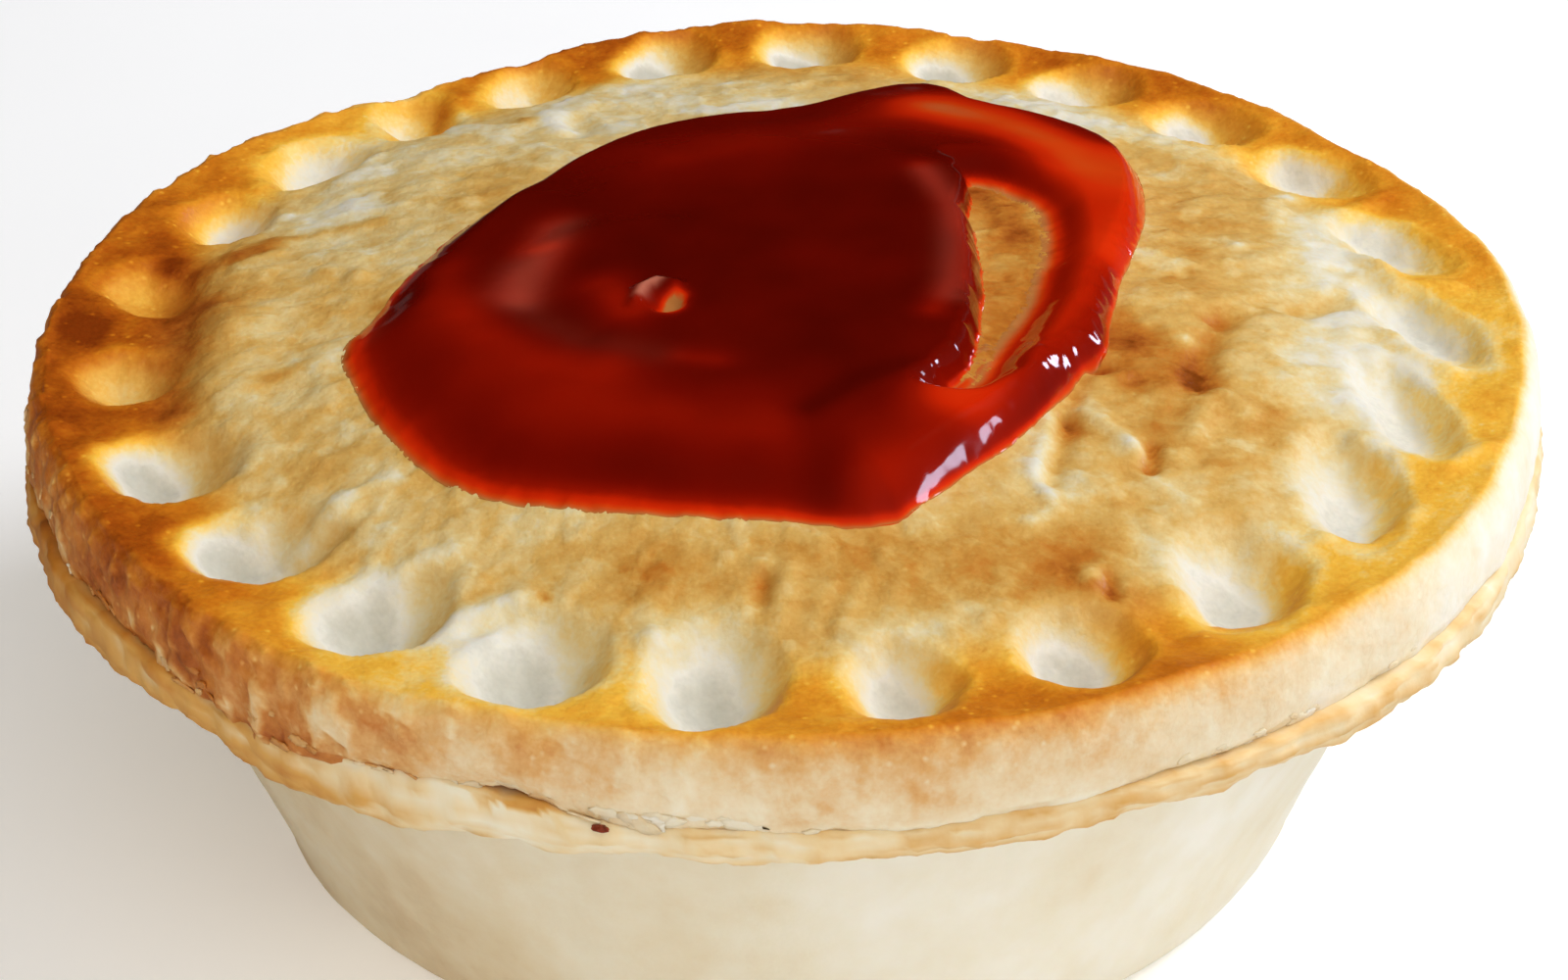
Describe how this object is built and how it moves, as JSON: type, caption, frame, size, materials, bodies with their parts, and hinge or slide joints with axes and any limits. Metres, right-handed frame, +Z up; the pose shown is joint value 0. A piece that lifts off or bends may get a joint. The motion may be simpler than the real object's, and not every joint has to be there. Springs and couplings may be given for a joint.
{
  "type": "meat pie",
  "caption": "Round hand-size meat pie: tapered pastry case, domed lid with a crimped rim, and a glossy pool of tomato sauce on top.",
  "frame": {"origin": "centre of the flat base", "axes": "+Z up through the middle of the lid; -Y towards the side that faced the camera"},
  "size_m": [0.112, 0.1121, 0.0445],
  "materials": {
    "case_pastry": "matte pale baked shortcrust pastry, smooth from its tin",
    "lid_pastry": "satin golden baked pastry, browner on the rim and white in the pits",
    "sauce": "glossy wet tomato sauce, dark red where deep and orange-red at the edges"
  },
  "bodies": {
    "root": {"pastry_case": "case_pastry", "pastry_lid": "lid_pastry", "tomato_sauce": "sauce"}
  },
  "joints": []
}
